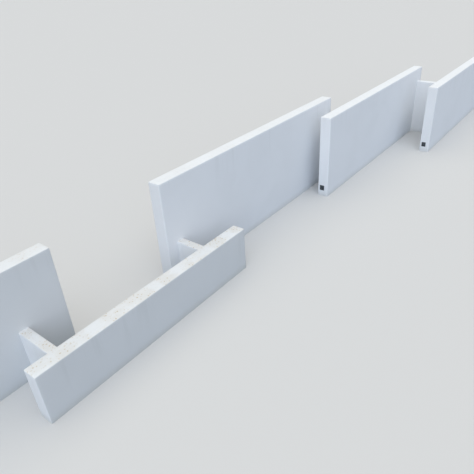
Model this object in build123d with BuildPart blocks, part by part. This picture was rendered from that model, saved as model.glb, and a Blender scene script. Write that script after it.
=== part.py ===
"""Staggered garden wall with a low planter, in smooth white render.

Four straight bays of rendered masonry stand side by side, each one set forward of the
last and standing lower, tied by short link walls across the steps.  A low planter wall
with two returns closes the open corner between the first two bays.  Small recessed
lights sit low in the near ends of the bays.

Millimetres, +Z up, X along the bays, Y from the front to the retained side.  The origin
is at foot level, in the middle of the row's plan.
"""
import os

from build123d import *

os.makedirs("parts", exist_ok=True)


# Bays and their set-out
bay_length = 5750
wall_thickness = 250
arris_radius = 12

upper_bay_height = 2010
bay_drop = 120
first_bay_drop = 210

first_bay_setback = 200
middle_bay_step = 590
last_bay_step = 1050

planter_gap = 1910
middle_bay_lap = 1130
last_bay_lap = 1820

# Link walls across the steps
link_thickness = 150
link_drop = 250
link_end_distance = 150

# Planter
planter_height = 840
planter_wall_length = 4220
planter_wall_lap = 1100
planter_depth = 470
return_thickness = 150
left_return_inset = 335
right_return_inset = 230

# Recessed light
light_width = 110
light_height = 122
light_centre_height = 200
light_centre_inset = 105
bezel_thickness = 5
bezel_border = 10
bezel_corner_radius = 5
bezel_edge_radius = 1
window_chamfer = 1.5
glass_thickness = 4
glass_rebate = 2.5
glass_clearance = 0.3
housing_wall = 3
housing_depth = 62
pocket_clearance = 2
lamp_diameter = 54
lamp_base_thickness = 11
lens_diameter = 46
lens_front_diameter = 34
lens_rise = 5

# Plan positions along the row, worked out from the near end of the middle lower bay
lower_near = 0
upper_near = lower_near + middle_bay_lap - bay_length
first_near = upper_near - planter_gap - bay_length
last_near = lower_near + bay_length - last_bay_lap
row_middle = (first_near - bezel_thickness + last_near + bay_length) / 2

# Plan positions across the row, worked out from the front of the middle lower bay
lower_front = 0
upper_front = lower_front + middle_bay_step
first_front = upper_front + first_bay_setback
last_front = lower_front - last_bay_step
planter_front = upper_front - planter_depth - wall_thickness
row_centre = (last_front + first_front + wall_thickness) / 2

lower_bay_height = upper_bay_height - bay_drop
last_bay_height = lower_bay_height - bay_drop
first_bay_height = upper_bay_height - first_bay_drop

planter_near = first_near + bay_length - planter_wall_lap
planter_back = planter_front + wall_thickness
left_return_near = planter_near + left_return_inset
right_return_near = upper_near + right_return_inset

# Recessed light sizes that follow from the bezel
window_width = light_width - 2 * bezel_border
window_height = light_height - 2 * bezel_border
housing_width = window_width + 2 * (glass_rebate + housing_wall)
housing_height = window_height + 2 * (glass_rebate + housing_wall)
pocket_width = housing_width + 2 * pocket_clearance
pocket_height = housing_height + 2 * pocket_clearance
pocket_depth = housing_depth + pocket_clearance


def block(x_near, y_front, length, depth, height):
    """Rectangular mass standing at foot level, placed by its near front corner."""
    middle = (x_near + length / 2 - row_middle, y_front + depth / 2 - row_centre)
    with BuildPart() as mass:
        with BuildSketch(Plane.XY):
            with Locations(middle):
                Rectangle(length, depth)
        extrude(amount=height)
    return mass


def keep(piece, name):
    """Label a finished piece and write it."""
    piece.part.label = name
    export_step(piece.part, f"parts/{name}.step")


def light_plane(x_near, y_front):
    """Plane on a bay's near end face, centred on its light and facing outwards."""
    y_light = y_front + wall_thickness - light_centre_inset - row_centre
    return Plane(
        origin=(x_near - row_middle, y_light, light_centre_height),
        x_dir=(0, -1, 0),
        z_dir=(-1, 0, 0),
    )


def bay_wall(name, x_near, y_front, height, has_light):
    """One straight bay with rounded arrises, and a pocket for its light."""
    solid = block(x_near, y_front, bay_length, wall_thickness, height)
    with BuildPart() as wall:
        add(solid.part)
        uprights = wall.edges().filter_by(Axis.Z)
        top_edges = wall.faces().sort_by(Axis.Z)[-1].edges()
        fillet(uprights + top_edges, arris_radius)
        if has_light:
            with BuildSketch(light_plane(x_near, y_front)):
                Rectangle(pocket_width, pocket_height)
            extrude(amount=-pocket_depth, mode=Mode.SUBTRACT)
    keep(wall, name)


def link_wall(name, x_far_end, y_front, y_back, height):
    """Short wall across a step, from the back of one bay to the front of the one behind."""
    x_near = x_far_end - link_end_distance - link_thickness
    solid = block(x_near, y_front, link_thickness, y_back - y_front, height)
    with BuildPart() as wall:
        add(solid.part)
        fillet(wall.faces().sort_by(Axis.Z)[-1].edges().filter_by(Axis.Y), arris_radius)
    keep(wall, name)


def planter_return(name, x_near, y_back):
    """Short wall from the planter's front wall back to a bay."""
    solid = block(x_near, planter_back, return_thickness, y_back - planter_back, planter_height)
    with BuildPart() as wall:
        add(solid.part)
        fillet(wall.faces().sort_by(Axis.Z)[-1].edges().filter_by(Axis.Y), arris_radius)
    keep(wall, name)


def planter_front_wall(name):
    """Low front wall, its back arris kept square where the two returns meet it."""
    solid = block(planter_near, planter_front, planter_wall_length, wall_thickness, planter_height)
    with BuildPart() as wall:
        add(solid.part)
        uprights = wall.edges().filter_by(Axis.Z)
        top_edges = wall.faces().sort_by(Axis.Z)[-1].edges()
        fillet(uprights + top_edges, arris_radius)
        for x_near in (left_return_near, right_return_near):
            x_seat = x_near + return_thickness / 2 - row_middle
            y_seat = planter_back - arris_radius / 2 - row_centre
            with BuildSketch(Plane.XY.offset(planter_height - arris_radius)):
                with Locations((x_seat, y_seat)):
                    Rectangle(return_thickness - 2 * arris_radius, arris_radius)
            extrude(amount=arris_radius)
    keep(wall, name)


def light_bezel(name, face):
    """Flat frame on the render, with eased edges, rebated behind for the glass."""
    with BuildPart() as bezel:
        with BuildSketch(face):
            RectangleRounded(light_width, light_height, bezel_corner_radius)
        extrude(amount=bezel_thickness)
        fillet(bezel.faces().sort_by(Axis.X)[0].edges(), bezel_edge_radius)
        with BuildSketch(face):
            Rectangle(window_width, window_height)
        extrude(amount=bezel_thickness, mode=Mode.SUBTRACT)
        chamfer(bezel.faces().sort_by(Axis.X)[0].inner_wires()[0].edges(), window_chamfer)
        with BuildSketch(face):
            Rectangle(window_width + 2 * glass_rebate, window_height + 2 * glass_rebate)
        extrude(amount=bezel_thickness / 2, mode=Mode.SUBTRACT)
    keep(bezel, name)


def light_glass(name, face):
    """Dark glass held in the rebate behind the bezel."""
    width = window_width + 2 * (glass_rebate - glass_clearance)
    height = window_height + 2 * (glass_rebate - glass_clearance)
    with BuildPart() as glass:
        with BuildSketch(face.offset(bezel_thickness / 2 - glass_thickness)):
            Rectangle(width, height)
        extrude(amount=glass_thickness)
    keep(glass, name)


def light_housing(name, face):
    """Open-fronted box let into the wall behind the bezel."""
    with BuildPart() as housing:
        with BuildSketch(face):
            Rectangle(housing_width, housing_height)
        extrude(amount=-housing_depth)
        front = housing.faces().sort_by(Axis.X)[0]
        offset(amount=-housing_wall, openings=front)
    keep(housing, name)


def light_lamp(name, face):
    """Round lamp with a tapered lens, seated on the housing's back."""
    seat = face.offset(housing_wall - housing_depth)
    lens_front = lamp_base_thickness + lens_rise
    with BuildPart() as lamp:
        with BuildSketch(Plane(seat.origin, x_dir=seat.x_dir, z_dir=-seat.y_dir)):
            with BuildLine():
                Polyline(
                    (0, 0),
                    (lamp_diameter / 2, 0),
                    (lamp_diameter / 2, lamp_base_thickness),
                    (lens_diameter / 2, lamp_base_thickness),
                    (lens_front_diameter / 2, lens_front),
                    (0, lens_front),
                    close=True,
                )
            make_face()
        revolve(axis=Axis(seat.origin, seat.z_dir))
    keep(lamp, name)


def recessed_light(side, x_near, y_front):
    """Bezel, glass, housing and lamp of one bay's light."""
    face = light_plane(x_near, y_front)
    light_bezel(f"{side}_light_bezel", face)
    light_glass(f"{side}_light_glass", face)
    light_housing(f"{side}_light_housing", face)
    light_lamp(f"{side}_light_lamp", face)


bay_wall("first_bay_wall", first_near, first_front, first_bay_height, True)
bay_wall("upper_bay_wall", upper_near, upper_front, upper_bay_height, False)
bay_wall("lower_bay_wall", lower_near, lower_front, lower_bay_height, True)
bay_wall("last_bay_wall", last_near, last_front, last_bay_height, True)

link_wall(
    "upper_link_wall",
    upper_near + bay_length,
    lower_front + wall_thickness,
    upper_front,
    lower_bay_height - link_drop,
)
link_wall(
    "lower_link_wall",
    lower_near + bay_length,
    last_front + wall_thickness,
    lower_front,
    last_bay_height - link_drop,
)

planter_front_wall("planter_front_wall")
planter_return("planter_left_return", left_return_near, first_front)
planter_return("planter_right_return", right_return_near, upper_front)

recessed_light("first", first_near, first_front)
recessed_light("lower", lower_near, lower_front)
recessed_light("last", last_near, last_front)
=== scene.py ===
"""Looks of a staggered garden wall in smooth white render, with a low planter.

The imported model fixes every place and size.  Each run of masonry gets its render as a
modelled coat, with rounded arrises and a face that wanders a little as a trowelled one
does, and the recessed lights keep their own pieces and get their finishes.  Metres, in
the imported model's frame: +X along the bays, +Y back to the retained side, +Z up.
"""
import logging
import math
from abc import ABC, abstractmethod
from dataclasses import dataclass, field
from enum import Enum

import bmesh
import bpy
from mathutils import Matrix, Vector, noise


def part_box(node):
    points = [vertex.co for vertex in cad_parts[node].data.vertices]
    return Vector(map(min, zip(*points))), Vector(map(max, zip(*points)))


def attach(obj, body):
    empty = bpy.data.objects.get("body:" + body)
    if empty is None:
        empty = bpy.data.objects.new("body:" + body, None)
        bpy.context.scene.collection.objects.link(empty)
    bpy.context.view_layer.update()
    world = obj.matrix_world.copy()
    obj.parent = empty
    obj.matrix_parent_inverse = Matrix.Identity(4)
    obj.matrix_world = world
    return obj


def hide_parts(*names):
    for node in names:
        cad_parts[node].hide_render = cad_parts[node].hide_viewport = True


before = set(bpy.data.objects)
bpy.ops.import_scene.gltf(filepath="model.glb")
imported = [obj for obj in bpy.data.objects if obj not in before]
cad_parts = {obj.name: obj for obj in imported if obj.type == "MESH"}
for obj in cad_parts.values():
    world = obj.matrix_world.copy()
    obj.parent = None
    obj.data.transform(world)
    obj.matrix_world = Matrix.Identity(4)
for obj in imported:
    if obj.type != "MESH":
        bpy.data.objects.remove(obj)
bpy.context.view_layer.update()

Colour = tuple[float, float, float]
Point = tuple[float, float]

# How far a surface faces one way where a layer begins to lie on it, and where it lies fully
FACING_EASE = (0.5, 0.9)

# Distance in metres within which two places count as the same
TOUCH = 1e-5

# Angle in degrees from which an edge is kept sharp to look at
SHARP_ANGLE = 35.0

# Sockets of the Mix node that serve when it mixes colours
MIX_FACTOR = 0
MIX_UNDER = 6
MIX_OVER = 7
MIX_RESULT = 2

log = logging.getLogger("garden_wall")


class Slot(Enum):
    """Material slots of the record, listed beside the lights' finishes."""

    WHITE_RENDER = "white_render"
    BLACK_METAL = "black_metal"
    DARK_GLASS = "dark_glass"
    LAMP_PLASTIC = "lamp_plastic"


class Ray(Enum):
    """Kinds of ray that see the floor and the surroundings as plain and pale."""

    CAMERA = "Is Camera Ray"
    GLOSSY = "Is Glossy Ray"
    TRANSMISSION = "Is Transmission Ray"


class Bay(Enum):
    """The four straight bays, from the near end of the row to the far one."""

    FIRST = "first"
    UPPER = "upper"
    LOWER = "lower"
    LAST = "last"


@dataclass(frozen=True)
class Tone:
    """A number that changes over a surface, written as maths on shader sockets."""

    board: "NodeBoard"
    socket: bpy.types.NodeSocket

    def __add__(self, other: "Tone | float") -> "Tone":
        """Sum of two tones."""
        return self.board.maths("ADD", self, other)

    def __radd__(self, other: float) -> "Tone":
        """Sum with a plain number first."""
        return self.board.maths("ADD", other, self)

    def __sub__(self, other: "Tone | float") -> "Tone":
        """Difference of two tones."""
        return self.board.maths("SUBTRACT", self, other)

    def __rsub__(self, other: float) -> "Tone":
        """Difference from a plain number."""
        return self.board.maths("SUBTRACT", other, self)

    def __mul__(self, other: "Tone | float") -> "Tone":
        """Product of two tones."""
        return self.board.maths("MULTIPLY", self, other)

    def __rmul__(self, other: float) -> "Tone":
        """Product with a plain number first."""
        return self.board.maths("MULTIPLY", other, self)

    def __truediv__(self, other: "Tone | float") -> "Tone":
        """Quotient of two tones."""
        return self.board.maths("DIVIDE", self, other)

    def __pow__(self, other: float) -> "Tone":
        """Tone raised to a power."""
        return self.board.maths("POWER", self, other)

    def clamped(self) -> "Tone":
        """Tone kept from 0 to 1."""
        made = self.board.node("ShaderNodeClamp", {}, {"Value": self})
        return Tone(self.board, made.outputs[0])

    def ease(self, start: "Tone | float", end: "Tone | float") -> "Tone":
        """Soft step from 0 at one value of the tone to 1 at another.

        Args:
            start: Value at which the step leaves 0.
            end: Value at which the step reaches 1.

        Returns:
            The step, from 0 to 1.
        """
        made = self.board.node(
            "ShaderNodeMapRange",
            {"interpolation_type": "SMOOTHSTEP", "clamp": True},
            {"Value": self, "From Min": start, "From Max": end},
        )
        return Tone(self.board, made.outputs[0])


class NodeBoard:
    """Node tree of one material or world, filled by plain calls."""

    def __init__(self, tree: bpy.types.NodeTree) -> None:
        """Takes over a tree and empties it.

        Args:
            tree: Node tree of a material or a world.
        """
        self.tree = tree
        self.tree.nodes.clear()

    def node(self, kind: str, settings: dict, inputs: dict) -> bpy.types.Node:
        """Adds one node, its settings first and then its sockets.

        Args:
            kind: The node's type.
            settings: Attributes of the node.
            inputs: Values or links, by the name or number of the socket.

        Returns:
            The new node.
        """
        made = self.tree.nodes.new(kind)
        for name, value in settings.items():
            setattr(made, name, value)
        for name, value in inputs.items():
            self._plug(made.inputs[name], value)
        return made

    def _plug(self, socket: bpy.types.NodeSocket, value: object) -> None:
        """Links a socket or sets its value.

        Args:
            socket: The input socket.
            value: A tone, another socket, a colour, a vector or a number.
        """
        if isinstance(value, Tone):
            value = value.socket
        if isinstance(value, bpy.types.NodeSocket):
            self.tree.links.new(value, socket)
        elif isinstance(value, tuple) and socket.type == "RGBA":
            socket.default_value = (*value, 1.0)
        else:
            socket.default_value = value

    def maths(self, operation: str, first: Tone | float, second: Tone | float) -> Tone:
        """Adds one step of maths on numbers.

        Args:
            operation: What the Math node does.
            first: Its first number.
            second: Its second number.

        Returns:
            The result.
        """
        made = self.node("ShaderNodeMath", {"operation": operation}, {0: first, 1: second})
        return Tone(self, made.outputs[0])

    def place(self) -> bpy.types.NodeSocket:
        """Point on the surface, in the object's own metres."""
        return self.node("ShaderNodeTexCoord", {}, {}).outputs["Object"]

    def axis_value(self, vector: bpy.types.NodeSocket, axis: str) -> Tone:
        """One coordinate of a vector.

        Args:
            vector: Socket that gives the vector.
            axis: X, Y or Z.

        Returns:
            The coordinate.
        """
        made = self.node("ShaderNodeSeparateXYZ", {}, {0: vector})
        return Tone(self, made.outputs[axis])

    def facing(self, axis: str) -> Tone:
        """How far a surface faces along an axis.

        Args:
            axis: X, Y or Z.

        Returns:
            That part of its normal, from -1 to 1.
        """
        return self.axis_value(self.node("ShaderNodeNewGeometry", {}, {}).outputs["Normal"], axis)

    def lying(self) -> Tone:
        """1 on surfaces that face up, 0 on upright ones."""
        return self.facing("Z").ease(*FACING_EASE)

    def frontal(self) -> Tone:
        """1 on surfaces that face the front, 0 on all others."""
        return (-1.0 * self.facing("Y")).ease(*FACING_EASE)

    def blend(self, factor: Tone, under: object, over: object) -> bpy.types.NodeSocket:
        """Mixes two colours.

        Args:
            factor: Share of the second colour, from 0 to 1.
            under: First colour, or the socket that gives it.
            over: Second colour, or the socket that gives it.

        Returns:
            The mixed colour.
        """
        made = self.node(
            "ShaderNodeMix",
            {"data_type": "RGBA"},
            {MIX_FACTOR: factor, MIX_UNDER: under, MIX_OVER: over},
        )
        return made.outputs[MIX_RESULT]

    def relief(self, height: Tone, strength: float, depth: float) -> bpy.types.NodeSocket:
        """Surface normal that shows a fine relief.

        Args:
            height: The relief, from 0 to 1.
            strength: Share of the relief that shows.
            depth: Its full depth in metres.

        Returns:
            The normal.
        """
        made = self.node(
            "ShaderNodeBump", {}, {"Strength": strength, "Distance": depth, "Height": height}
        )
        return made.outputs[0]

    def surface(
        self, shader: bpy.types.NodeSocket, output: str = "ShaderNodeOutputMaterial"
    ) -> None:
        """Ends the board with its output.

        Args:
            shader: The finished shader.
            output: Type of the output node.
        """
        self.node(output, {}, {"Surface": shader})


@dataclass(frozen=True)
class Finish(ABC):
    """A named finish that makes its own material."""

    name: str

    @abstractmethod
    def paint(self, board: NodeBoard) -> bpy.types.NodeSocket:
        """Builds the finish on a board and returns its shader."""

    def make(self) -> bpy.types.Material:
        """Makes the material.

        Returns:
            The material, ready for a mesh.
        """
        material = bpy.data.materials.new(self.name)
        material.use_nodes = True
        board = NodeBoard(material.node_tree)
        board.surface(self.paint(board))
        return material


@dataclass(frozen=True)
class Patches:
    """Soft patches that come and go over a surface.

    Attributes:
        scale: Patches to the metre.
        start: Level of the noise at which a patch begins.
        full: Level of the noise at which it is whole.
        detail: Octaves of finer noise on the patches.
        warp: How far they are bent on themselves.
        stretch: Factor along each axis, lowest along the axis that they run long on.
    """

    scale: float
    start: float = 0.45
    full: float = 0.80
    detail: float = 3.0
    warp: float = 0.0
    stretch: tuple[float, float, float] = (1.0, 1.0, 1.0)

    def noise(self, board: NodeBoard) -> Tone:
        """Makes the noise behind the patches.

        Args:
            board: The material's board.

        Returns:
            The noise, about 0.5.
        """
        place = board.node(
            "ShaderNodeMapping", {}, {"Vector": board.place(), "Scale": self.stretch}
        )
        made = board.node(
            "ShaderNodeTexNoise",
            {},
            {
                "Vector": place.outputs[0],
                "Scale": self.scale,
                "Detail": self.detail,
                "Distortion": self.warp,
            },
        )
        return Tone(board, made.outputs[0])

    def mask(self, board: NodeBoard) -> Tone:
        """Makes the patches, 1 where they are whole and 0 between them."""
        return self.noise(board).ease(self.start, self.full)


@dataclass(frozen=True)
class Specks:
    """Small scattered specks, round or frayed.

    Attributes:
        scale: Cells to the metre, with one speck to a cell.
        size: Radius of the largest speck as a share of its cell.
        spread: Share of that radius by which the smallest one is smaller.
        core: Share of a speck's radius within which it is whole.
        fray_scale: Features to the metre of the noise that frays the specks.
        fray: How far that noise pushes them about, in metres.
    """

    scale: float
    size: float
    spread: float = 0.85
    core: float = 0.4
    fray_scale: float = 60.0
    fray: float = 0.0

    def mask(self, board: NodeBoard) -> Tone:
        """Makes the specks.

        Args:
            board: The material's board.

        Returns:
            Their mask, 1 in their middle and 0 between them.
        """
        push = board.node(
            "ShaderNodeTexNoise", {}, {"Vector": board.place(), "Scale": self.fray_scale}
        )
        pushed = board.node(
            "ShaderNodeVectorMath",
            {"operation": "MULTIPLY_ADD"},
            {0: push.outputs["Color"], 1: (self.fray,) * 3, 2: board.place()},
        )
        cells = board.node(
            "ShaderNodeTexVoronoi", {}, {"Vector": pushed.outputs[0], "Scale": self.scale}
        )
        radius = self.size * (1.0 - self.spread * board.axis_value(cells.outputs["Color"], "X"))
        return 1.0 - Tone(board, cells.outputs["Distance"]).ease(self.core * radius, radius)


@dataclass(frozen=True)
class Layer(ABC):
    """A thin layer of weathering, or of painted shade, over the paint."""

    @abstractmethod
    def share(self, board: NodeBoard) -> Tone:
        """Share of the paint that the layer hides, from 0 to 1."""


@dataclass(frozen=True)
class GreyFilmAndShade(Layer):
    """Grey film that rain and damp leave, together with painted shade where a wall stands in shade.

    Attributes:
        wall_top: Height of the wall's top, which the rain runs down from.
        even: Share of grime and painted shade that lies evenly over everything.
        front: Share of painted shade that darkens the faces that face the front as well.
        lying: Share that lies on the top as well.
        clouds: Broad patches of film.
        cloud_share: Share of grime in them.
        runs: Streaks that run down the faces.
        run_share: Share of grime in them.
        run_length: How far down they reach.
        dust: Fine dust on the top.
        dust_share: Share of grime in it.
        colour: Colour of the grime.
    """

    wall_top: float
    even: float = 0.0
    front: float = 0.0
    lying: float = 0.05
    clouds: Patches = Patches(scale=1.3, start=0.35, full=0.75, warp=0.4)
    cloud_share: float = 0.050
    runs: Patches = Patches(scale=1.0, start=0.52, full=0.72, stretch=(9.0, 9.0, 0.7))
    run_share: float = 0.075
    run_length: float = 0.75
    dust: Patches = Patches(scale=24.0, detail=4.0)
    dust_share: float = 0.05
    colour: Colour = (0.45, 0.47, 0.46)

    def share(self, board: NodeBoard) -> Tone:
        """Adds up the even grime and painted shade, the painted shade on the front, the clouds, the
        runs below the top and the dust on it.

        Args:
            board: The material's board.

        Returns:
            The share.
        """
        lying = board.lying()
        upright = 1.0 - lying
        height = board.axis_value(board.place(), "Z")
        below_top = height.ease(self.wall_top - self.run_length, self.wall_top) * upright
        clouds = self.cloud_share * self.clouds.mask(board)
        runs = self.run_share * self.runs.mask(board) * below_top
        dust = (self.lying + self.dust_share * self.dust.mask(board)) * lying
        # even is grime and painted shade together; front is painted shade on the faces that face
        # the front
        return (self.even + self.front * board.frontal() + clouds + runs + dust).clamped()


@dataclass(frozen=True)
class FootSplash(Layer):
    """Dirt that rain throws up at the foot.

    Attributes:
        strength: Share of dirt at the very foot.
        height: How high the splash reaches on the whole.
        least: Lowest reach, as a share of that height.
        swing: How much higher it comes in places, as a share of that height.
        fall: How steeply the splash fades on its way up.
        edge: Patches that its upper edge follows.
        flecks: Single splashes above it.
        fleck_share: Share of dirt in them.
        fleck_height: Height at which the last of them is.
        colour: Colour of the dirt.
    """

    strength: float = 0.30
    height: float = 0.16
    least: float = 0.45
    swing: float = 1.1
    fall: float = 1.6
    edge: Patches = Patches(scale=5.0, detail=4.0)
    flecks: Specks = Specks(scale=85.0, size=0.40, spread=0.9, fray_scale=120.0, fray=0.012)
    fleck_share: float = 0.14
    fleck_height: float = 0.34
    colour: Colour = (0.40, 0.40, 0.33)

    def share(self, board: NodeBoard) -> Tone:
        """Adds the flecks to the splash.

        Args:
            board: The material's board.

        Returns:
            The share.
        """
        height = board.axis_value(board.place(), "Z")
        reach = self.height * (self.least + self.swing * self.edge.noise(board))
        splash = self.strength * (1.0 - height / reach).clamped() ** self.fall
        flecks = self.flecks.mask(board) * (1.0 - height.ease(0.0, self.fleck_height))
        return (splash + self.fleck_share * flecks).clamped()


@dataclass(frozen=True)
class TanninSpots(Layer):
    """Tan spots that settle on the tops, in loose groups.

    Attributes:
        strength: Share of tan in the middle of a spot.
        wash: Share of that tan that lies between the spots of a group.
        groups: Where the groups are.
        spots: The spots in them.
        colour: Colour of the tan.
    """

    strength: float = 0.0
    wash: float = 0.25
    groups: Patches = Patches(scale=3.2, start=0.36, full=0.62)
    spots: Specks = Specks(scale=26.0, size=0.50, fray_scale=55.0, fray=0.028)
    colour: Colour = (0.50, 0.40, 0.25)

    def share(self, board: NodeBoard) -> Tone:
        """Keeps the spots to their groups and to the tops.

        Args:
            board: The material's board.

        Returns:
            The share.
        """
        tan = self.wash + self.spots.mask(board)
        return (self.strength * board.lying() * self.groups.mask(board) * tan).clamped()


@dataclass(frozen=True)
class FloatedFace:
    """Fine relief of render that was rubbed up with a float.

    Attributes:
        grain: Sand in the paint.
        grain_share: Share of the relief that it takes.
        marks: Marks of the float.
        mark_share: Share of the relief that they take.
        pinholes: Small holes that air left.
        hole_share: Share of the relief that they take.
        strength: Share of the relief that shows.
        depth: Full depth of the relief, in metres.
    """

    grain: Patches = Patches(scale=320.0, detail=2.0)
    grain_share: float = 0.30
    marks: Patches = Patches(scale=13.0, warp=1.2, stretch=(1.0, 1.0, 1.6))
    mark_share: float = 0.70
    pinholes: Specks = Specks(scale=60.0, size=0.14, spread=0.8)
    hole_share: float = 0.25
    strength: float = 0.60
    depth: float = 0.0020

    def normal(self, board: NodeBoard) -> bpy.types.NodeSocket:
        """Makes the surface normal that shows the relief.

        Args:
            board: The material's board.

        Returns:
            The normal.
        """
        grain = self.grain_share * self.grain.noise(board)
        marks = self.mark_share * self.marks.noise(board)
        holes = self.hole_share * self.pinholes.mask(board)
        return board.relief(grain + marks - holes, self.strength, self.depth)


@dataclass(frozen=True)
class PaintedRender(Finish):
    """Smooth cement render under white masonry paint, lightly weathered, and darkened by painted
    shade where a wall stands in shade.

    Attributes:
        film: Grey film on it, with painted shade.
        splash: Dirt at its foot.
        spots: Tan spots on its top.
        face: Its fine relief.
        sheen: Patches over which the paint's roughness changes.
        matt: Lowest roughness.
        matt_swing: How much rougher it is in places.
        specular: How strongly the paint shines, as the shader counts it.
        white: Colour of the clean paint.
    """

    film: GreyFilmAndShade
    splash: FootSplash = FootSplash()
    spots: TanninSpots = TanninSpots()
    face: FloatedFace = FloatedFace()
    sheen: Patches = Patches(scale=9.0)
    matt: float = 0.80
    matt_swing: float = 0.12
    specular: float = 0.32
    white: Colour = (0.862, 0.884, 0.914)

    def paint(self, board: NodeBoard) -> bpy.types.NodeSocket:
        """Lays the weathering and the painted shade on the paint, one layer after the other.

        Args:
            board: The material's board.

        Returns:
            The shader.
        """
        colour = self.white
        # the film layer carries painted shade besides grime
        for layer in (self.film, self.splash, self.spots):
            colour = board.blend(layer.share(board), colour, layer.colour)
        made = board.node(
            "ShaderNodeBsdfPrincipled",
            {},
            {
                "Base Color": colour,
                "Roughness": self.matt + self.matt_swing * self.sheen.noise(board),
                "Normal": self.face.normal(board),
                "Specular IOR Level": self.specular,
            },
        )
        return made.outputs[0]


@dataclass(frozen=True)
class PowderCoat(Finish):
    """Satin powder coat with a faint orange peel, and dust where it faces up.

    Attributes:
        gloss: Lowest roughness of the coat.
        gloss_swing: How much rougher it is in places.
        sheen: Patches over which the roughness changes.
        settled: Patches of dust where the coat faces up.
        settled_share: Share of dust in them.
        haze: Patches of thin dust all over.
        haze_share: Share of dust in them.
        peel: Waves of the orange peel.
        peel_strength: Share of the peel that shows.
        peel_depth: Full depth of the peel, in metres.
        base: Colour of the coat.
        dust: Colour of the dust on it.
    """

    gloss: float = 0.36
    gloss_swing: float = 0.18
    sheen: Patches = Patches(scale=60.0)
    settled: Patches = Patches(scale=70.0)
    settled_share: float = 0.55
    haze: Patches = Patches(scale=45.0, detail=4.0)
    haze_share: float = 0.10
    peel: Patches = Patches(scale=900.0, detail=1.0)
    peel_strength: float = 0.35
    peel_depth: float = 0.0002
    base: Colour = (0.024, 0.030, 0.037)
    dust: Colour = (0.20, 0.21, 0.21)

    def paint(self, board: NodeBoard) -> bpy.types.NodeSocket:
        """Builds the powder coat.

        Args:
            board: The material's board.

        Returns:
            The shader.
        """
        settled = self.settled_share * board.lying() * self.settled.noise(board)
        haze = self.haze_share * self.haze.mask(board)
        made = board.node(
            "ShaderNodeBsdfPrincipled",
            {},
            {
                "Base Color": board.blend((settled + haze).clamped(), self.base, self.dust),
                "Roughness": self.gloss + self.gloss_swing * self.sheen.noise(board),
                "Normal": board.relief(self.peel.noise(board), self.peel_strength, self.peel_depth),
            },
        )
        return made.outputs[0]


@dataclass(frozen=True)
class SmokedGlass(Finish):
    """Dark tinted glass with a thin film of dust.

    Attributes:
        film: Patches of the dust.
        film_share: Share of dust in them.
        gloss: Roughness of the clean glass.
        film_gloss: How much rougher the dust makes it.
        cover: Share of what lies behind that the clean glass hides.
        film_cover: How much more the dust hides.
        index: How strongly the glass bends light.
        tint: Colour of the glass.
        dust: Colour of the dust on it.
    """

    film: Patches = Patches(scale=22.0, start=0.30, full=0.90, detail=5.0, warp=0.1)
    film_share: float = 0.30
    gloss: float = 0.06
    film_gloss: float = 0.20
    cover: float = 0.84
    film_cover: float = 0.10
    index: float = 1.5
    tint: Colour = (0.032, 0.042, 0.052)
    dust: Colour = (0.22, 0.25, 0.27)

    def paint(self, board: NodeBoard) -> bpy.types.NodeSocket:
        """Builds the glass.

        Args:
            board: The material's board.

        Returns:
            The shader.
        """
        film = self.film.mask(board)
        made = board.node(
            "ShaderNodeBsdfPrincipled",
            {},
            {
                "Base Color": board.blend(self.film_share * film, self.tint, self.dust),
                "Roughness": self.gloss + self.film_gloss * film,
                "Alpha": self.cover + self.film_cover * film,
                "IOR": self.index,
            },
        )
        return made.outputs[0]


@dataclass(frozen=True)
class FrostedPlastic(Finish):
    """Frosted white lamp plastic, faintly mottled as moulded.

    Attributes:
        mottle: Patches where the moulding is thicker.
        gloss: Lowest roughness.
        gloss_swing: How much rougher it is in places.
        frost: Fine grain of the frosting.
        frost_strength: Share of the grain that shows.
        frost_depth: Full depth of the grain, in metres.
        base: Colour of the plastic.
        shade: Colour of its thicker places.
    """

    mottle: Patches = Patches(scale=110.0, start=0.3, full=0.8)
    gloss: float = 0.42
    gloss_swing: float = 0.15
    frost: Patches = Patches(scale=1600.0, detail=1.0)
    frost_strength: float = 0.3
    frost_depth: float = 0.0001
    base: Colour = (0.78, 0.78, 0.75)
    shade: Colour = (0.66, 0.65, 0.60)

    def paint(self, board: NodeBoard) -> bpy.types.NodeSocket:
        """Builds the plastic.

        Args:
            board: The material's board.

        Returns:
            The shader.
        """
        frost = self.frost.noise(board)
        made = board.node(
            "ShaderNodeBsdfPrincipled",
            {},
            {
                "Base Color": board.blend(self.mottle.mask(board), self.base, self.shade),
                "Roughness": self.gloss + self.gloss_swing * self.mottle.noise(board),
                "Normal": board.relief(frost, self.frost_strength, self.frost_depth),
            },
        )
        return made.outputs[0]


@dataclass(frozen=True)
class Trowelling:
    """How a hand-trowelled coat wanders behind a true plane.

    Attributes:
        depth: Deepest hollow.
        broad_wave: Length of the broad waves that a straight edge leaves.
        ripple_wave: Length of the short ripples that a trowel leaves.
        ripple_share: Share of the depth that is ripples.
        grid: Size of the mesh that carries them.
    """

    depth: float = 0.0026
    broad_wave: float = 0.85
    ripple_wave: float = 0.24
    ripple_share: float = 0.35
    grid: float = 0.06

    def hollow(self, point: Vector) -> float:
        """Depth of the coat's face behind its true plane.

        Args:
            point: Place on the true plane.

        Returns:
            The depth, from 0 to the deepest hollow.
        """
        broad = noise.noise(point / self.broad_wave)
        ripple = noise.noise(point / self.ripple_wave)
        swing = (1 - self.ripple_share) * broad + self.ripple_share * ripple
        return self.depth * min(1.0, max(0.0, (1 + swing) / 2))


@dataclass(frozen=True)
class Box:
    """Box of one CAD node.

    Attributes:
        low: Lowest corner.
        high: Highest corner.
    """

    low: Vector
    high: Vector

    @classmethod
    def of(cls, node: str) -> "Box":
        """Box of a node at rest, by the node's name."""
        return cls(*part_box(node))

    def corners(self) -> list[Point]:
        """Plan corners of the box.

        Returns:
            The corners, anticlockwise from the near front one.
        """
        return [
            (self.low.x, self.low.y),
            (self.high.x, self.low.y),
            (self.high.x, self.high.y),
            (self.low.x, self.high.y),
        ]


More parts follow.
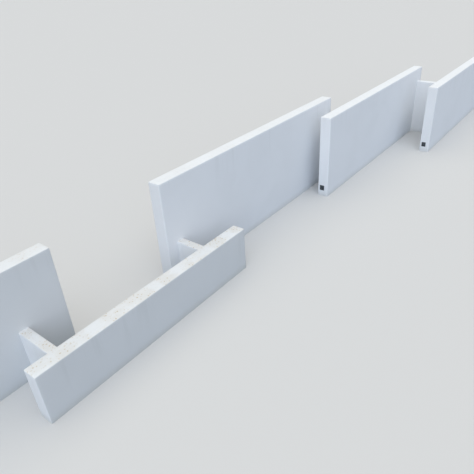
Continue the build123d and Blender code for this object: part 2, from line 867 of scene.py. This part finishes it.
@dataclass
class RenderCoat(ABC):
    """Rendered face of one run of masonry, raised from its plan outline.

    Attributes:
        name: Name of the piece.
        nodes: CAD nodes that the coat stands for.
        finish: Finish of the coat.
        arris_radius: Radius that the corners are rubbed down to.
        arris_segments: Facets around a rounded corner.
        key: How far an end runs into the wall that it meets.
        trowelling: How the face wanders.
    """

    name: str
    nodes: tuple[str, ...]
    finish: PaintedRender
    arris_radius: float = 0.012
    arris_segments: int = 4
    key: float = 0.006
    trowelling: Trowelling = field(default_factory=Trowelling)

    @property
    def top(self) -> float:
        """Height of the run's top."""
        return max(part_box(node)[1].z for node in self.nodes)

    @abstractmethod
    def outline(self) -> list[Point]:
        """Plan outline, anticlockwise."""

    @abstractmethod
    def is_arris(self, edge: bmesh.types.BMEdge) -> bool:
        """Whether an edge of the square block is rubbed round."""

    def shape_openings(self, bm: bmesh.types.BMesh) -> None:
        """Cuts what the run has cut in it, which is nothing unless a subclass says so."""

    def calm(self, point: Vector) -> float:
        """Share of the trowelling kept at a point, less where a fitting sits on the coat."""
        return 1.0

    def build(self) -> bpy.types.Object:
        """Returns:
            The finished piece.
        """
        bm = self._raise_block()
        arrises = [edge for edge in bm.edges if self.is_arris(edge)]
        bmesh.ops.bevel(
            bm,
            geom=arrises,
            offset=self.arris_radius,
            offset_type="OFFSET",
            segments=self.arris_segments,
            profile=0.5,
            affect="EDGES",
            material=-1,
        )
        self._cut_grid(bm)
        self.shape_openings(bm)
        self._trowel(bm)
        piece = finished_object(bm, self.name, self.finish.make())
        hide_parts(*self.nodes)
        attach(piece, "root")
        log.info("%s stands for %s", self.name, ", ".join(self.nodes))
        return piece

    def _raise_block(self) -> bmesh.types.BMesh:
        """Raises the square block from the outline.

        Returns:
            The block, from foot level to the run's top.
        """
        bm = bmesh.new()
        base = bm.faces.new([bm.verts.new((x, y, 0.0)) for x, y in self.outline()])
        raised = bmesh.ops.extrude_face_region(bm, geom=[base])["geom"]
        lifted = [item for item in raised if isinstance(item, bmesh.types.BMVert)]
        bmesh.ops.translate(bm, verts=lifted, vec=(0.0, 0.0, self.top))
        bmesh.ops.recalc_face_normals(bm, faces=bm.faces[:])
        return bm

    def _cut_grid(self, bm: bmesh.types.BMesh) -> None:
        """Cuts the block into the grid that carries the trowelling.

        Args:
            bm: The block.
        """
        plan = self.outline()
        spans = (
            (Vector((1, 0, 0)), min(x for x, _ in plan), max(x for x, _ in plan)),
            (Vector((0, 1, 0)), min(y for _, y in plan), max(y for _, y in plan)),
            (Vector((0, 0, 1)), 0.0, self.top),
        )
        for axis, low, high in spans:
            steps = round((high - low) / self.trowelling.grid)
            for step in range(1, steps):
                cut_across(bm, axis, low + (high - low) * step / steps)

    def _trowel(self, bm: bmesh.types.BMesh) -> None:
        """Lets the coat wander behind its true planes, and keeps its foot level.

        Args:
            bm: The block.
        """
        bm.normal_update()
        shifts = []
        for vert in bm.verts:
            inward = -vert.normal
            if vert.co.z < TOUCH:
                inward.z = 0.0
            shifts.append(inward * (self.trowelling.hollow(vert.co) * self.calm(vert.co)))
        for vert, shift in zip(bm.verts, shifts):
            vert.co += shift
        bm.normal_update()


def cut_across(bm: bmesh.types.BMesh, axis: Vector, place: float) -> None:
    """Cuts a mesh by a plane across one axis and keeps both sides.

    Args:
        bm: The mesh.
        axis: Unit vector of the axis.
        place: Where on the axis the plane stands.
    """
    bmesh.ops.bisect_plane(
        bm,
        geom=bm.verts[:] + bm.edges[:] + bm.faces[:],
        dist=TOUCH,
        plane_co=axis * place,
        plane_no=axis,
    )


def finished_object(
    bm: bmesh.types.BMesh, name: str, material: bpy.types.Material
) -> bpy.types.Object:
    """Turns a mesh under way into a finished object at the origin.

    Args:
        bm: The mesh, which is freed.
        name: Name of the object.
        material: Its material.

    Returns:
        The object, smooth but for its sharp corners.
    """
    mesh = bpy.data.meshes.new(name)
    bm.to_mesh(mesh)
    bm.free()
    mesh.shade_smooth()
    mesh.set_sharp_from_angle(angle=math.radians(SHARP_ANGLE))
    mesh.materials.append(material)
    made = bpy.data.objects.new(name, mesh)
    bpy.context.scene.collection.objects.link(made)
    return made


def is_upright(edge: bmesh.types.BMEdge) -> bool:
    """Whether an edge stands upright."""
    start, end = (vert.co for vert in edge.verts)
    return (start.xy - end.xy).length < TOUCH


@dataclass
class BayCoat(RenderCoat):
    """Render of one straight bay, with a pocket where it has a light.

    Attributes:
        lit_bay: Which bay it is, if that bay has a light, or None.
        pocket_gap: Room between the light's housing and its pocket.
        calm_reach: Distance from the light's middle at which the face is as uneven as elsewhere.
    """

    lit_bay: Bay | None = None
    pocket_gap: float = 0.002
    calm_reach: float = 0.30

    def outline(self) -> list[Point]:
        """Plan outline of the bay."""
        return Box.of(self.nodes[0]).corners()

    def is_arris(self, edge: bmesh.types.BMEdge) -> bool:
        """Every upright and top edge of a bay is an arris."""
        return is_upright(edge) or all(vert.co.z > self.top - TOUCH for vert in edge.verts)

    def housing(self) -> Box:
        """Box of the light's housing, with the pocket's room round it.

        Returns:
            The box, open to the near end.
        """
        box = Box.of(f"{self.lit_bay.value}_light_housing")
        room = Vector((0.0, self.pocket_gap, self.pocket_gap))
        return Box(box.low - room, box.high + room + Vector((self.pocket_gap, 0.0, 0.0)))

    def calm(self, point: Vector) -> float:
        """Share of the trowelling kept, none where the bezel lies on the face.

        Args:
            point: Place on the coat.

        Returns:
            The share, from 0 to 1.
        """
        if self.lit_bay is None:
            return 1.0
        pocket = self.housing()
        middle = (pocket.low + pocket.high) / 2
        reach = (Vector((pocket.low.x, middle.y, middle.z)) - point).length
        bezel_reach = (pocket.high - pocket.low).yz.length / 2 + self.arris_radius
        share = (reach - bezel_reach) / (self.calm_reach - bezel_reach)
        return min(1.0, max(0.0, share))

    def shape_openings(self, bm: bmesh.types.BMesh) -> None:
        """Sinks the light's pocket into the near end.

        Args:
            bm: The block.
        """
        if self.lit_bay is None:
            return
        pocket = self.housing()
        near = self.outline()[0][0]
        for place in (pocket.low.y, pocket.high.y):
            cut_across(bm, Vector((0, 1, 0)), place)
        for place in (pocket.low.z, pocket.high.z):
            cut_across(bm, Vector((0, 0, 1)), place)
        mouth = [face for face in bm.faces if self._in_mouth(face, near, pocket)]
        sunk = bmesh.ops.extrude_face_region(bm, geom=mouth)["geom"]
        moved = [item for item in sunk if isinstance(item, bmesh.types.BMVert)]
        bmesh.ops.translate(bm, verts=moved, vec=(pocket.high.x - near, 0.0, 0.0))
        bmesh.ops.delete(bm, geom=mouth, context="FACES_ONLY")

    @staticmethod
    def _in_mouth(face: bmesh.types.BMFace, near: float, pocket: Box) -> bool:
        """Whether a face of the near end lies within the pocket's mouth.

        Args:
            face: A face of the block.
            near: Where the near end stands along X.
            pocket: Box of the pocket.

        Returns:
            True if the face goes.
        """
        middle = face.calc_center_median()
        within_y = pocket.low.y < middle.y < pocket.high.y
        within_z = pocket.low.z < middle.z < pocket.high.z
        return abs(middle.x - near) < TOUCH and within_y and within_z


@dataclass
class LinkCoat(RenderCoat):
    """Render of a short link wall, keyed into the bays in front and behind."""

    def outline(self) -> list[Point]:
        """Plan outline of the link, with its ends run into the bays.

        Returns:
            The corners, anticlockwise.
        """
        box = Box.of(self.nodes[0])
        run_in = Vector((0.0, self.key, 0.0))
        return Box(box.low - run_in, box.high + run_in).corners()

    def is_arris(self, edge: bmesh.types.BMEdge) -> bool:
        """The two long top edges are arrises.

        Args:
            edge: An edge of the square block.

        Returns:
            True if it is rubbed round.
        """
        start, end = (vert.co for vert in edge.verts)
        on_top = min(start.z, end.z) > self.top - TOUCH
        return on_top and abs(start.x - end.x) < TOUCH


@dataclass
class PlanterCoat(RenderCoat):
    """Render of the low planter, in one skin over its front wall and both returns."""

    def outline(self) -> list[Point]:
        """Plan outline: the front wall, with the returns run back into the bays.

        Returns:
            The corners, anticlockwise.
        """
        front, left, right = (Box.of(node) for node in self.nodes)
        back = front.high.y
        return [
            (front.low.x, front.low.y),
            (front.high.x, front.low.y),
            (front.high.x, back),
            (right.high.x, back),
            (right.high.x, right.high.y + self.key),
            (right.low.x, right.high.y + self.key),
            (right.low.x, back),
            (left.high.x, back),
            (left.high.x, left.high.y + self.key),
            (left.low.x, left.high.y + self.key),
            (left.low.x, back),
            (front.low.x, back),
        ]

    def is_arris(self, edge: bmesh.types.BMEdge) -> bool:
        """Top edges and the front wall's outer corners are arrises, but not the keyed ends.

        Args:
            edge: An edge of the square block.

        Returns:
            True if it is rubbed round.
        """
        front = Box.of(self.nodes[0])
        start, end = (vert.co for vert in edge.verts)
        if is_upright(edge):
            return start.x in (front.low.x, front.high.x)
        in_bay = min(start.y, end.y) > front.high.y + self.arris_radius
        return min(start.z, end.z) > self.top - TOUCH and not in_bay


@dataclass
class RecessedLight:
    """One recessed light: its bezel, glass, housing and lamp.

    Attributes:
        bay: The bay whose near end it sits in.
        finishes: Slot and finish of each part, by the part's name.
    """

    bay: Bay
    finishes: dict[str, tuple[Slot, Finish]]

    def dress(self) -> None:
        """Gives each CAD node of the light its finish."""
        for part, (slot, finish) in self.finishes.items():
            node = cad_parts[f"{self.bay.value}_light_{part}"]
            node.data.materials.clear()
            node.data.materials.append(finish.make())
            log.info("%s gets %s", node.name, finish.name)


@dataclass(frozen=True)
class SoftLamp:
    """One wide soft lamp, far enough away to light the whole row evenly.

    Attributes:
        name: Name of the lamp.
        colour: Its colour.
        power: Its strength.
        spread: How wide it looks from the object, in degrees.
        aim: Direction that it shines in.
    """

    name: str
    colour: Colour
    power: float
    spread: float
    aim: tuple[float, float, float]

    def hang(self) -> None:
        """Hangs the lamp in the scene."""
        lamp = bpy.data.lights.new(self.name, "SUN")
        lamp.color = self.colour
        lamp.energy = self.power
        lamp.angle = math.radians(self.spread)
        hung = bpy.data.objects.new(self.name, lamp)
        hung.rotation_euler = Vector(self.aim).to_track_quat("-Z", "Y").to_euler()
        bpy.context.scene.collection.objects.link(hung)


@dataclass(frozen=True)
class Studio:
    """Pale floor, pale surroundings and plain soft light from above and all round.

    Attributes:
        floor_shown: Floor as the camera, gloss and glass see it.
        floor_bounce: Floor as it lights the object.
        floor_reach: Radius of the floor.
        floor_segments: Sides of the floor's disc.
        backdrop: Surroundings as the camera, gloss and glass see them.
        sky: Soft light from all round.
        lamps: The wide soft lamps.
    """

    floor_shown: Colour = (0.66, 0.66, 0.66)
    floor_bounce: Colour = (0.27, 0.31, 0.36)
    floor_reach: float = 400.0
    floor_segments: int = 64
    backdrop: Colour = (0.66, 0.66, 0.66)
    sky: Colour = (0.46, 0.48, 0.52)
    lamps: tuple[SoftLamp, ...] = (
        SoftLamp("overhead_light", (1.0, 0.96, 0.82), 1.38, 90.0, (0.0, 0.0, -1.0)),
        SoftLamp("front_light", (0.67, 0.80, 1.0), 1.12, 70.0, (0.8, 0.6, -0.6)),
        SoftLamp("low_end_light", (1.0, 0.85, 0.60), 0.40, 40.0, (1.0, 0.12, -0.15)),
    )

    def build(self) -> None:
        """Sets up the floor, the surroundings and the lamps."""
        self._lay_floor()
        self._light_surroundings()
        for lamp in self.lamps:
            lamp.hang()
        log.info("studio is set with %d lamps", len(self.lamps))

    @staticmethod
    def _seen_plainly(board: NodeBoard) -> Tone:
        """1 for the rays that see the surroundings directly, in gloss or through glass.

        Args:
            board: Board of the floor or the surroundings.

        Returns:
            The mask.
        """
        path = board.node("ShaderNodeLightPath", {}, {})
        camera, glossy, transmission = (Tone(board, path.outputs[ray.value]) for ray in Ray)
        return (camera + glossy + transmission).clamped()

    def _lay_floor(self) -> None:
        """Lays the floor at foot level, pale to look at and dim as a source of light."""
        bm = bmesh.new()
        bmesh.ops.create_circle(
            bm, cap_ends=True, radius=self.floor_reach, segments=self.floor_segments
        )
        material = bpy.data.materials.new("floor")
        material.use_nodes = True
        board = NodeBoard(material.node_tree)
        bounced = board.node("ShaderNodeBsdfDiffuse", {}, {"Color": self.floor_bounce})
        shown = board.node("ShaderNodeBsdfDiffuse", {}, {"Color": self.floor_shown})
        mixed = board.node(
            "ShaderNodeMixShader",
            {},
            {0: self._seen_plainly(board), 1: bounced.outputs[0], 2: shown.outputs[0]},
        )
        board.surface(mixed.outputs[0])
        finished_object(bm, "floor", material)

    def _light_surroundings(self) -> None:
        """Lights the object from all round, with plain pale surroundings to look at."""
        world = bpy.data.worlds.new("surroundings")
        world.use_nodes = True
        board = NodeBoard(world.node_tree)
        lighting = board.node("ShaderNodeBackground", {}, {"Color": self.sky, "Strength": 1.0})
        plain = board.node("ShaderNodeBackground", {}, {"Color": self.backdrop, "Strength": 1.0})
        mixed = board.node(
            "ShaderNodeMixShader",
            {},
            {0: self._seen_plainly(board), 1: lighting.outputs[0], 2: plain.outputs[0]},
        )
        board.surface(mixed.outputs[0], "ShaderNodeOutputWorld")
        bpy.context.scene.world = world


@dataclass(frozen=True)
class Viewpoint:
    """Camera at the photograph's viewing angle.

    Attributes:
        stand: Where the camera is.
        heading: Angle from +Y towards +X that it looks along, in degrees.
        dip: Angle below the horizon, in degrees.
        roll: Turn about the line of sight, in degrees.
        lens: Focal length in millimetres.
        sensor: Width of the sensor in millimetres.
        sight: How far it sees.
    """

    stand: tuple[float, float, float] = (-7.850, -4.646, 5.070)
    heading: float = 50.677
    dip: float = 31.018
    roll: float = -3.634
    lens: float = 35.75
    sensor: float = 36.0
    sight: float = 1000.0

    def build(self) -> None:
        """Makes the camera and gives it to the scene."""
        heading, dip, roll = (math.radians(a) for a in (self.heading, self.dip, self.roll))
        ahead = Vector(
            (math.sin(heading) * math.cos(dip), math.cos(heading) * math.cos(dip), -math.sin(dip))
        )
        level = ahead.cross(Vector((0, 0, 1))).normalized()
        right = Matrix.Rotation(-roll, 3, ahead) @ level
        up = right.cross(ahead)
        turn = Matrix((right, up, -ahead)).transposed().to_4x4()
        optics = bpy.data.cameras.new("viewpoint")
        optics.sensor_width = self.sensor
        optics.lens = self.lens
        optics.clip_end = self.sight
        camera = bpy.data.objects.new("viewpoint", optics)
        camera.matrix_world = Matrix.Translation(self.stand) @ turn
        bpy.context.scene.collection.objects.link(camera)
        bpy.context.scene.camera = camera


@dataclass(frozen=True)
class Wear:
    """How weathered one wall is, and how much painted shade lies on it.

    Attributes:
        even: Share of grime and painted shade that lies evenly over it.
        front: Share of painted shade that darkens its front as well.
        lying: Share of grime that lies on its top as well.
        tan: Strength of the tan spots on its top.
    """

    even: float = 0.0
    front: float = 0.0
    lying: float = 0.05
    tan: float = 0.0

    def paint(self, name: str, wall: str) -> PaintedRender:
        """Paint that is as weathered as this, with as much painted shade.

        Args:
            name: Name of the finish.
            wall: CAD node of the wall that it is for.

        Returns:
            The finish.
        """
        top = Box.of(wall).high.z
        film = GreyFilmAndShade(wall_top=top, even=self.even, front=self.front, lying=self.lying)
        return PaintedRender(name=name, film=film, spots=TanninSpots(strength=self.tan))


@dataclass(frozen=True)
class GardenWall:
    """The whole wall: four bays, two links, the planter and the lights.

    Attributes:
        first_wear_and_shade: Wear of the first bay, which stands in damp shade, with painted shade
            that darkens it and its front most.
        upper_wear: Wear of the upper bay.
        far_wear: Wear of the other bays and of the links.
        planter_wear_and_shade: Wear of the planter, with painted shade that darkens it and its
            front most.
        lit_bays: Bays that have a recessed light in their near end.
        housing_gloss: Lowest roughness of the housings, which are duller than the bezels.
    """

    # The first bay and the planter are darkened by painted shade as well as grime: even greys all
    # of a wall, front only its front faces.
    first_wear_and_shade: Wear = Wear(even=0.10, front=0.20, tan=0.30)
    upper_wear: Wear = Wear(even=0.03, tan=0.12)
    far_wear: Wear = Wear()
    planter_wear_and_shade: Wear = Wear(even=0.10, front=0.25, lying=0.10, tan=0.65)
    lit_bays: tuple[Bay, ...] = (Bay.FIRST, Bay.LOWER, Bay.LAST)
    housing_gloss: float = 0.5

    def bays(self) -> list[BayCoat]:
        """Coats of the four bays.

        Returns:
            The coats, from the near end to the far one.
        """
        wears_and_shades = {Bay.FIRST: self.first_wear_and_shade, Bay.UPPER: self.upper_wear}
        coats = []
        for bay in Bay:
            wall = f"{bay.value}_bay_wall"
            finish = wears_and_shades.get(bay, self.far_wear).paint(f"{bay.value}_bay_painted_render", wall)
            lit_bay = bay if bay in self.lit_bays else None
            coats.append(BayCoat(f"{bay.value}_bay_render", (wall,), finish, lit_bay=lit_bay))
        return coats

    def links(self) -> list[LinkCoat]:
        """Coats of the two link walls.

        Returns:
            The coats.
        """
        coats = []
        for link in ("upper", "lower"):
            wall = f"{link}_link_wall"
            finish = self.far_wear.paint(f"{link}_link_painted_render", wall)
            coats.append(LinkCoat(f"{link}_link_render", (wall,), finish))
        return coats

    def planter(self) -> PlanterCoat:
        """Coat of the planter.

        Returns:
            The coat.
        """
        walls = ("planter_front_wall", "planter_left_return", "planter_right_return")
        finish = self.planter_wear_and_shade.paint("planter_painted_render", walls[0])
        return PlanterCoat("planter_render", walls, finish)

    def lights(self) -> list[RecessedLight]:
        """The recessed lights.

        Returns:
            One light for each bay that has one.
        """
        finishes = {
            "bezel": (Slot.BLACK_METAL, PowderCoat("bezel_powder_coat")),
            "glass": (Slot.DARK_GLASS, SmokedGlass("smoked_glass")),
            "housing": (Slot.BLACK_METAL, PowderCoat("housing_coat", gloss=self.housing_gloss)),
            "lamp": (Slot.LAMP_PLASTIC, FrostedPlastic("lamp_plastic")),
        }
        return [RecessedLight(bay, finishes) for bay in self.lit_bays]

    def build(self) -> None:
        """Builds every coat and dresses every light."""
        for coat in [*self.bays(), *self.links(), self.planter()]:
            coat.build()
        for light in self.lights():
            light.dress()


def main() -> None:
    """Builds the studio, the camera and the wall in order."""
    logging.basicConfig(level=logging.INFO, format="%(message)s")
    bpy.context.scene.view_settings.view_transform = "Standard"
    Studio().build()
    Viewpoint().build()
    GardenWall().build()


if __name__ == "__main__":
    main()
